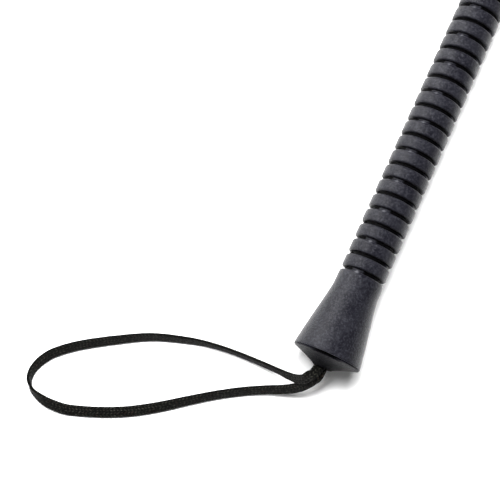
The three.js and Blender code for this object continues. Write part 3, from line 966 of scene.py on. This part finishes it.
def layer_points(direction):
    """Outer and inner face of one layer. direction is 1 for the upper layer and -1 for the lower."""
    xs = keeper_rows()
    across = across_leather()
    rolled = 1 - smoothstep(xs, BINDING_END_X - 1 * MM, HINGE[0] + 0.75 * NECK_DROP)
    outer, inner, edge = [], [], []
    for x, roll in zip(xs, rolled):
        flat_y, y, z, normal_y, normal_z = layer_middle(x, roll, across)
        inwards = outline_distance(x, flat_y)
        middle = keeper_middle(x)
        for face, out in ((outer, LAYER / 2 - face_relief(x, inwards)), (inner, -LAYER / 2)):
            height = middle + direction * (z + normal_z * out)
            face.append(np.stack([np.full(len(y), x), y + normal_y * out, height], 1))
        edge.append(1 - smoothstep(inwards, 0.2 * MM, 1.1 * MM))
    return np.array(outer), np.array(inner), np.array(edge)


def make_leather_layer(name, direction, material, nodes):
    outer, inner, edge = layer_points(direction)
    rows, columns = outer.shape[:2]
    vertices = list(outer.reshape(-1, 3)) + list(inner.reshape(-1, 3))
    faces = grid_faces(rows, columns, False, False)
    faces += grid_faces(rows, columns, False, False, first=rows * columns)
    rim = [(0, c) for c in range(columns)] + [(r, columns - 1) for r in range(1, rows)]
    rim += [(rows - 1, c) for c in range(columns - 2, -1, -1)] + [(r, 0) for r in range(rows - 2, 0, -1)]
    for here, there in zip(rim, rim[1:] + rim[:1]):
        a = here[0] * columns + here[1]
        b = there[0] * columns + there[1]
        faces.append((a, b, b + rows * columns, a + rows * columns))
    piece = object_from(name, vertices, faces, material, crease=50)
    mark(piece, "edge", np.concatenate([edge.ravel(), edge.ravel()]))
    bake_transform(piece)
    if nodes:
        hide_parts(*nodes)


def stitch_line():
    """Evenly spaced points along the line of stitches, from one side of the neck round to the other."""
    start = HINGE[0] + NECK_DROP + 5 * MM
    inner_corner = KEEPER_CORNER - STITCH_INSET
    corner_x = KEEPER_END_X - KEEPER_CORNER
    side_x = np.linspace(start, corner_x, 200)
    side = [(x, keeper_half_width(x) - STITCH_INSET) for x in side_x]
    centre_y = KEEPER_WIDTH / 2 - KEEPER_CORNER
    for angle in np.linspace(math.pi / 2, 0, 40)[1:]:
        side.append((corner_x + inner_corner * math.cos(angle), centre_y + inner_corner * math.sin(angle)))
    half = np.array(side)
    whole = np.vstack([half, half[::-1] * np.array((1, -1))])
    lengths = np.concatenate([[0], np.cumsum(np.linalg.norm(np.diff(whole, axis=0), axis=1))])
    places = np.arange(STITCH_PITCH / 2, lengths[-1], STITCH_PITCH)
    xs = np.interp(places, lengths, whole[:, 0])
    ys = np.interp(places, lengths, whole[:, 1])
    ahead = places + 0.2 * MM
    ahead_x = np.interp(ahead, lengths, whole[:, 0]) - xs
    ahead_y = np.interp(ahead, lengths, whole[:, 1]) - ys
    return zip(xs, ys, np.arctan2(ahead_y, ahead_x))


def stitch(x, y, heading, lie, dip, first):
    """Vertices and faces of one stitch, whose ends dip into the leather. first is its first vertex."""
    shares = np.linspace(-1, 1, 9)
    swell = np.sqrt(np.maximum(0.02, 1 - shares ** 4))
    angles = full_turn(8)
    along = np.array((math.cos(heading), math.sin(heading), 0))
    beside = np.array((-along[1], along[0], 0))
    upwards = np.array((0, 0, 1))
    vertices = []
    for share, size in zip(shares, swell):
        middle = np.array((x, y, lie + dip * share ** 4)) + along * STITCH_HALF_LENGTH * share
        for angle in angles:
            vertices.append(middle + beside * STITCH_RADIUS * size * math.cos(angle)
                            + upwards * STITCH_RADIUS * size * math.sin(angle))
    faces = grid_faces(len(shares), len(angles), False, True, first)
    for ring in (first, first + (len(shares) - 1) * len(angles)):
        faces.append(tuple(range(ring, ring + len(angles))))
    return vertices, faces


def make_stitching(material):
    """One short slanting stitch after another, seated in the sewing groove of both faces."""
    vertices, faces = [], []
    for face_sign, seat in ((1, 0.16 * MM), (-1, STITCH_RADIUS)):
        lie = LEATHER_STACK / 2 + face_sign * (LEATHER_STACK / 2 - seat)
        for x, y, heading in stitch_line():
            made = stitch(x, y, heading + STITCH_SLANT, lie, -face_sign * 0.3 * MM, len(vertices))
            vertices += made[0]
            faces += made[1]
    piece = object_from("keeper_stitches", vertices, faces, material, crease=70)
    mark(piece, "ridge", np.full(len(vertices), 0.7))
    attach(piece, "keeper")
    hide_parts("keeper_stitching")


# ---------------------------------------------------------------- hidden parts that keep their CAD shape


def finish_node(node, material):
    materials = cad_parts[node].data.materials
    materials.clear()
    materials.append(material)


# ---------------------------------------------------------------- studio


FLOOR_HALF_SIZE = 60.0
FLOOR_GLOW_START = 0.38
FLOOR_GLOW_END = 0.85
FLOOR_GLOW_NEAR = 0.06
FLOOR_GLOW_FAR = 1.0


def make_floor():
    """Pale floor that glows past the lights' reach, so that it stays even to the horizon."""
    mesh = bpy.data.meshes.new("floor")
    half = FLOOR_HALF_SIZE
    corners = [(-half, -half, 0), (half, -half, 0), (half, half, 0), (-half, half, 0)]
    mesh.from_pydata(corners, [], [(0, 1, 2, 3)])
    look = Look("floor_look", Roughness=0.9, Specular_IOR_Level=0.1)
    look.colour(look.blend(look.noise(6), (0.86, 0.86, 0.86), (0.90, 0.90, 0.90)))
    distance = look.node("ShaderNodeVectorMath", operation="LENGTH")
    look.feed(distance.inputs[0], look.position)
    far = look.tighten(distance.outputs["Value"], FLOOR_GLOW_START, FLOOR_GLOW_END)
    look.shader.inputs["Emission Color"].default_value = (1, 1, 1, 1)
    look.feed(look.shader.inputs["Emission Strength"], look.between(far, FLOOR_GLOW_NEAR, FLOOR_GLOW_FAR))
    mesh.materials.append(look.material)
    floor = bpy.data.objects.new("floor", mesh)
    bpy.context.scene.collection.objects.link(floor)


def area_light(name, place, target, width, height, power):
    """Rectangle of light at a place counted from the target, facing it."""
    data = bpy.data.lights.new(name, "AREA")
    data.shape = "RECTANGLE"
    data.size = width
    data.size_y = height
    data.energy = power
    light = bpy.data.objects.new(name, data)
    light.location = Vector(target) + Vector(place)
    light.rotation_mode = "QUATERNION"
    light.rotation_quaternion = Vector(place).to_track_quat("Z", "Y")
    bpy.context.scene.collection.objects.link(light)
    return light


HORIZON_LIGHT = 0.80
LOW_HEIGHT = 0.12
LOW_LIGHT = 0.22
HIGH_HEIGHT = 0.75
HIGH_LIGHT = 0.05


def make_world():
    """Light from all round: brightest at the horizon, dim above."""
    world = bpy.data.worlds.new("studio")
    world.use_nodes = True
    nodes, links = world.node_tree.nodes, world.node_tree.links
    direction = nodes.new("ShaderNodeTexCoord").outputs["Generated"]
    height = nodes.new("ShaderNodeSeparateXYZ")
    links.new(direction, height.inputs[0])
    fall = nodes.new("ShaderNodeValToRGB")
    stops = fall.color_ramp.elements
    stops.new(LOW_HEIGHT)
    stops[-1].position = HIGH_HEIGHT
    for stop, light in zip(stops, (HORIZON_LIGHT, LOW_LIGHT, HIGH_LIGHT)):
        stop.color = (light, light, light, 1)
    links.new(height.outputs["Z"], fall.inputs["Fac"])
    links.new(fall.outputs["Color"], nodes["Background"].inputs["Color"])
    bpy.context.scene.world = world


SHADOW_LIGHTS = {"back_light": (0.26, 0.12, 0.67), "corner_light": (0.11, 0.25, 0.67)}
SHADOW_LIGHT_POWER = 8.5


def make_lights():
    """Low key light, a wide light that only the gloss shows, and two steep ones for a compact shadow."""
    target = tuple(on_axis(60 * MM))
    area_light("key_light", (0.31, 0.59, 0.28), target, 0.45, 0.16, 2.6)
    side = area_light("side_light", (0.05, 0.58, 0.52), target, 0.9, 0.5, 6.4)
    side.visible_diffuse = False
    for name, place in SHADOW_LIGHTS.items():
        light = area_light(name, place, target, 0.36, 0.26, SHADOW_LIGHT_POWER)
        light.visible_glossy = False


# ---------------------------------------------------------------- making everything

make_camera()
tape = tape_look()
make_wrist_loop(tape)
make_knot(tape)

make_grip(rubber_look("grip_rubber_look", specular=0.17, paleness=1.0))
# The plug's rubber is a darker copy of the grip's, with less bloom and less gloss: painted shade for the plug
# face, which lies in shadow.
make_plug(rubber_look("butt_plug_shaded_look", specular=0.03, paleness=0.5))

make_braid(thread_look("shaft_braid_look", (0.0035, 0.0035, 0.0038), (0.020, 0.020, 0.022), 0.55))
make_collar(plastic_look("collar_plastic_look", (0.0075, 0.0075, 0.008), (0.013, 0.013, 0.014), 0.36))
waxed_thread = thread_look("keeper_thread_look", (0.006, 0.006, 0.006), (0.055, 0.053, 0.051), 0.5)
make_binding(waxed_thread)

leather = leather_look()
make_leather_layer("keeper_leather_upper", 1, leather, ("keeper_root", "keeper_tongue"))
make_leather_layer("keeper_leather_lower", -1, leather, ())
make_stitching(waxed_thread)

former_plastic = plastic_look("former_plastic_look", (0.018, 0.018, 0.020), (0.030, 0.030, 0.032), 0.5)
finish_node("grip_former", former_plastic)
finish_node("rod_tip_cap", former_plastic)
finish_node("shaft_rod", glass_fibre_look())
finish_node("loop_washer", steel_look())

make_floor()
make_world()
make_lights()
bpy.context.scene.view_settings.view_transform = "Standard"
